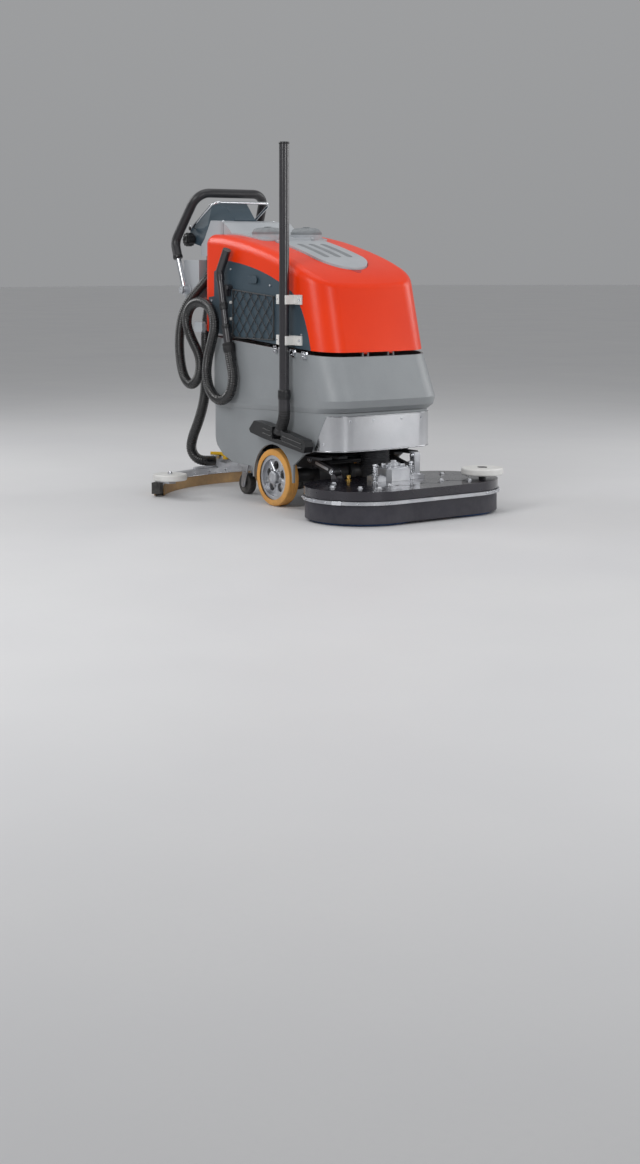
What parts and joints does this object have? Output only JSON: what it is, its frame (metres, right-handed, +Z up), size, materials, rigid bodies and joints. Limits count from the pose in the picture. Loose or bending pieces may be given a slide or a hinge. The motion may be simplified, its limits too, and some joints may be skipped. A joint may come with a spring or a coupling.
{
  "type": "walk-behind floor scrubber machine",
  "caption": "Walk-behind scrubber dryer with brush deck, tilting recovery tank, rear squeegee, arch handle and clipped wand.",
  "frame": {"origin": "on the floor, below the middle of the machine's bounding box", "axes": "+X forward in the direction of travel, +Y to the machine's left, +Z up"},
  "size_m": [1.3195, 0.91, 1.23],
  "materials": {
    "orange_shell": "moulded polyethylene, satin gloss",
    "tank_grey": "moulded polyethylene",
    "light_grey": "moulded plastic",
    "petrol": "moulded plastic",
    "black_plastic": "moulded plastic",
    "black_rubber": "soft rubber",
    "grip": "foam-like rubber",
    "stainless": "polished",
    "chrome": "plated",
    "silver": "cast and machined",
    "frame_black": "powder coat",
    "deck_dark": "satin powder coat",
    "ochre_tyre": "cast polyurethane",
    "white_plastic": "moulded nylon",
    "blade": "natural gum rubber",
    "yellow": "moulded plastic",
    "red": "moulded plastic",
    "window": "clear window",
    "bristle": "nylon bristles",
    "net": "elastic net",
    "battery": "battery case"
  },
  "bodies": {
    "chassis": {"solution_tank": "tank_grey", "steel_apron": "stainless", "chassis_frame": "frame_black", "drive_transaxle": "frame_black", "battery_pack": "battery", "rear_column": "light_grey", "rear_cowl": "light_grey", "console_shell": "petrol", "display_window": "window", "control_bezels": "black_plastic", "hose_ports": "black_plastic", "tank_latches": "chrome", "accessory_hose": "black_rubber", "squeegee_hose": "black_rubber"},
    "wheel_right": {"drive_tyre_right": "ochre_tyre", "drive_hub_right": "silver"},
    "wheel_left": {"drive_tyre_left": "ochre_tyre", "drive_hub_left": "silver"},
    "caster_right": {"caster_fork_right": "silver"},
    "caster_left": {"caster_fork_left": "silver"},
    "caster_wheel_right_body": {"caster_wheel_right": "black_rubber"},
    "caster_wheel_left_body": {"caster_wheel_left": "black_rubber"},
    "lift_arms": {"deck_arms": "frame_black"},
    "deck": {"deck_plate": "deck_dark", "deck_band": "silver", "deck_skirt": "black_rubber", "deck_gearbox": "silver", "brush_motor": "frame_black", "deck_studs": "silver"},
    "brush_right_body": {"brush_right": "bristle"},
    "brush_left_body": {"brush_left": "bristle"},
    "deck_roller_body": {"deck_roller": "white_plastic"},
    "squeegee_lifter": {"squeegee_arm": "frame_black"},
    "squeegee": {"squeegee_beam": "silver", "squeegee_blades": "blade", "squeegee_ends": "black_rubber"},
    "squeegee_roller_right_body": {"squeegee_roller_right": "white_plastic"},
    "squeegee_roller_left_body": {"squeegee_roller_left": "white_plastic"},
    "clamp": {"clamp_lever": "yellow"},
    "hood": {"recovery_tank": "orange_shell", "side_panels": "petrol", "net_pocket": "net", "wand_clips": "white_plastic", "top_cover": "light_grey", "hand_tool": "black_plastic"},
    "lid": {"tank_lid": "light_grey"},
    "cap_left": {"filter_cap_left": "light_grey"},
    "cap_right": {"filter_cap_right": "light_grey"},
    "wand": {"wand_tube": "black_plastic"},
    "nozzle": {"floor_nozzle": "black_plastic"},
    "handle": {"handle_grip": "grip", "handle_legs": "chrome"},
    "bail": {"bail_switch": "chrome"},
    "side_knob": {"console_knob": "black_plastic"},
    "dial": {"speed_dial": "black_plastic"},
    "stop": {"emergency_stop": "red"},
    "key": {"key_switch": "chrome"},
    "button_1": {"suction_button": "light_grey"},
    "button_2": {"water_button": "light_grey"},
    "button_3": {"brush_button": "light_grey"}
  },
  "joints": [
    {"name": "drive_wheel_right_spin", "type": "hinge", "parent": "chassis", "child": "wheel_right", "pos_m": [0.05, -0.209, 0.0975], "axis": [0, 1, 0], "continuous": true},
    {"name": "caster_right_swivel", "type": "hinge", "parent": "chassis", "child": "caster_right", "pos_m": [-0.245, -0.115, 0.13], "axis": [0, 0, 1], "continuous": true},
    {"name": "caster_right_spin", "type": "hinge", "parent": "caster_right", "child": "caster_wheel_right_body", "pos_m": [-0.27, -0.115, 0.0375], "axis": [0, 1, 0], "continuous": true},
    {"name": "brush_right_spin", "type": "hinge", "parent": "deck", "child": "brush_right_body", "pos_m": [0.4675, -0.17, 0.05], "axis": [0, 0, 1], "continuous": true},
    {"name": "squeegee_roller_right_spin", "type": "hinge", "parent": "squeegee", "child": "squeegee_roller_right_body", "pos_m": [-0.345, -0.395, 0.073], "axis": [0, 0, 1], "continuous": true},
    {"name": "drive_wheel_left_spin", "type": "hinge", "parent": "chassis", "child": "wheel_left", "pos_m": [0.05, 0.209, 0.0975], "axis": [0, 1, 0], "continuous": true},
    {"name": "caster_left_swivel", "type": "hinge", "parent": "chassis", "child": "caster_left", "pos_m": [-0.245, 0.115, 0.13], "axis": [0, 0, 1], "continuous": true},
    {"name": "caster_left_spin", "type": "hinge", "parent": "caster_left", "child": "caster_wheel_left_body", "pos_m": [-0.27, 0.115, 0.0375], "axis": [0, 1, 0], "continuous": true},
    {"name": "brush_left_spin", "type": "hinge", "parent": "deck", "child": "brush_left_body", "pos_m": [0.4675, 0.17, 0.05], "axis": [0, 0, 1], "continuous": true},
    {"name": "squeegee_roller_left_spin", "type": "hinge", "parent": "squeegee", "child": "squeegee_roller_left_body", "pos_m": [-0.345, 0.395, 0.073], "axis": [0, 0, 1], "continuous": true},
    {"name": "deck_lift", "type": "hinge", "parent": "chassis", "child": "lift_arms", "pos_m": [0.17, 0, 0.165], "axis": [0, -1, 0], "range_deg": [0, 11.5]},
    {"name": "deck_level", "type": "hinge", "parent": "lift_arms", "child": "deck", "pos_m": [0.3, 0, 0.135], "axis": [0, -1, 0], "range_deg": [-11.5, 0]},
    {"name": "deck_roller_spin", "type": "hinge", "parent": "deck", "child": "deck_roller_body", "pos_m": [0.562, 0.267, 0.134], "axis": [0, 0, 1], "continuous": true},
    {"name": "squeegee_lift", "type": "hinge", "parent": "chassis", "child": "squeegee_lifter", "pos_m": [-0.18, 0, 0.112], "axis": [0, 1, 0], "range_deg": [0, 6], "deforming": ["squeegee_hose"]},
    {"name": "squeegee_swing", "type": "hinge", "parent": "squeegee_lifter", "child": "squeegee", "pos_m": [-0.545, 0, 0.1], "axis": [0, 0, 1], "range_deg": [-12, 12], "deforming": ["squeegee_hose"]},
    {"name": "clamp_lever_turn", "type": "hinge", "parent": "squeegee", "child": "clamp", "pos_m": [-0.53, -0.038, 0.1015], "axis": [0, 0, 1], "range_deg": [0, 60]},
    {"name": "hood_tilt", "type": "hinge", "parent": "chassis", "child": "hood", "pos_m": [0.335, 0, 0.529], "axis": [0, 1, 0], "range_deg": [0, 40], "deforming": ["accessory_hose"]},
    {"name": "lid_hinge", "type": "hinge", "parent": "hood", "child": "lid", "pos_m": [-0.117, 0, 0.912], "axis": [0, -1, 0], "range_deg": [0, 75]},
    {"name": "cap_left_twist", "type": "hinge", "parent": "hood", "child": "cap_left", "pos_m": [-0.186, 0.084, 0.93], "axis": [0, 0, 1], "range_deg": [0, 60]},
    {"name": "cap_right_twist", "type": "hinge", "parent": "hood", "child": "cap_right", "pos_m": [-0.186, -0.084, 0.93], "axis": [0, 0, 1], "range_deg": [0, 60]},
    {"name": "wand_unclip", "type": "slide", "parent": "hood", "child": "wand", "axis": [0, -1, 0], "range_m": [0, 0.12]},
    {"name": "nozzle_tilt", "type": "hinge", "parent": "wand", "child": "nozzle", "pos_m": [0.142, -0.2605, 0.262], "axis": [-1, 0, 0], "range_deg": [0, 28]},
    {"name": "handle_tilt", "type": "hinge", "parent": "chassis", "child": "handle", "pos_m": [-0.569, 0, 0.728], "axis": [0, 1, 0], "range_deg": [-15, 0]},
    {"name": "bail_squeeze", "type": "hinge", "parent": "chassis", "child": "bail", "pos_m": [-0.625, 0, 0.956], "axis": [0, -1, 0], "range_deg": [0, 12], "stiffness_Nm_per_rad": 1.5},
    {"name": "side_knob_turn", "type": "hinge", "parent": "chassis", "child": "side_knob", "pos_m": [-0.629, -0.133, 0.914], "axis": [0, 1, 0], "range_deg": [0, 90]},
    {"name": "speed_dial_turn", "type": "hinge", "parent": "chassis", "child": "dial", "pos_m": [-0.62882, 0, 0.97741], "axis": [-0.7109, 0, 0.7033], "range_deg": [0, 270]},
    {"name": "key_turn", "type": "hinge", "parent": "chassis", "child": "key", "pos_m": [-0.6246, -0.066, 0.98167], "axis": [-0.7109, 0, 0.7033], "range_deg": [0, 90]},
    {"name": "emergency_stop_press", "type": "slide", "parent": "chassis", "child": "stop", "axis": [0.7109, 0, -0.7033], "range_m": [0, 0.004], "stiffness_N_per_m": 600},
    {"name": "suction_button_press", "type": "slide", "parent": "chassis", "child": "button_1", "axis": [0.7109, 0, -0.7033], "range_m": [0, 0.002], "stiffness_N_per_m": 300},
    {"name": "water_button_press", "type": "slide", "parent": "chassis", "child": "button_2", "axis": [0.7109, 0, -0.7033], "range_m": [0, 0.002], "stiffness_N_per_m": 300},
    {"name": "brush_button_press", "type": "slide", "parent": "chassis", "child": "button_3", "axis": [0.7109, 0, -0.7033], "range_m": [0, 0.002], "stiffness_N_per_m": 300}
  ],
  "couplings": [
    {"joint": "deck_level", "follows": "deck_lift", "ratio": -1},
    {"joint": "brush_left_spin", "follows": "brush_right_spin", "ratio": -1}
  ]
}
